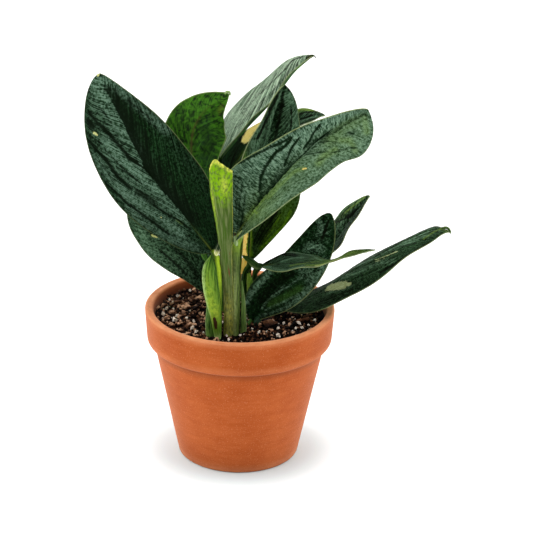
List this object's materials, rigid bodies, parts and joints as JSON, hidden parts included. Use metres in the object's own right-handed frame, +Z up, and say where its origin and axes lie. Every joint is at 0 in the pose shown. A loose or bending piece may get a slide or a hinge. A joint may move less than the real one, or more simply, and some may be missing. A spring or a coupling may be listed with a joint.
{
  "type": "potted monstera",
  "caption": "Lance-leaved monstera houseplant with long dark variegated leaves and bare sheaths, rooted in potting mix in a round rimmed terracotta pot.",
  "frame": {"origin": "on the surface that the pot stands on, under the middle of the whole plant's box, which lies about 21 mm to the right of the pot's axis", "axes": "+Z up, +X to the right as the plant is seen from its front, +Y away from the front"},
  "size_m": [0.286, 0.1536, 0.3208],
  "materials": {
    "terracotta": "unglazed, matte, faintly speckled",
    "potting_mix": "loose bark chips and perlite, damp",
    "root": "pale, matte",
    "petiole": "living stalk, satin",
    "cut_petiole": "living stalk, satin, bright at its torn end",
    "leaf": "living leaf, satin with a pale sheen",
    "light_leaf": "living leaf, satin, light passing through"
  },
  "bodies": {
    "root": {"pot": "terracotta", "potting_mix": "potting_mix", "stem_front": "root", "stem_middle": "root", "stem_rear": "root", "petiole_big_left": "petiole", "petiole_big_right": "petiole", "petiole_curled_back": "petiole", "petiole_tall_narrow": "petiole", "petiole_rear_right": "petiole", "petiole_upright": "petiole", "petiole_low_left": "petiole", "petiole_low_front": "petiole", "petiole_long_right": "petiole", "petiole_low_rear": "petiole", "petiole_twisted": "petiole", "cut_petiole": "cut_petiole", "sheath_right": "petiole", "sheath_stub_left": "petiole", "sheath_rear_left": "petiole", "sheath_rear_right": "petiole", "blade_big_left": "leaf", "blade_big_right": "leaf", "blade_curled_back": "light_leaf", "blade_tall_narrow": "leaf", "blade_rear_right": "leaf", "blade_upright": "light_leaf", "blade_low_left": "leaf", "blade_low_front": "leaf", "blade_long_right": "leaf", "blade_low_rear": "leaf", "blade_twisted": "leaf"}
  },
  "joints": []
}
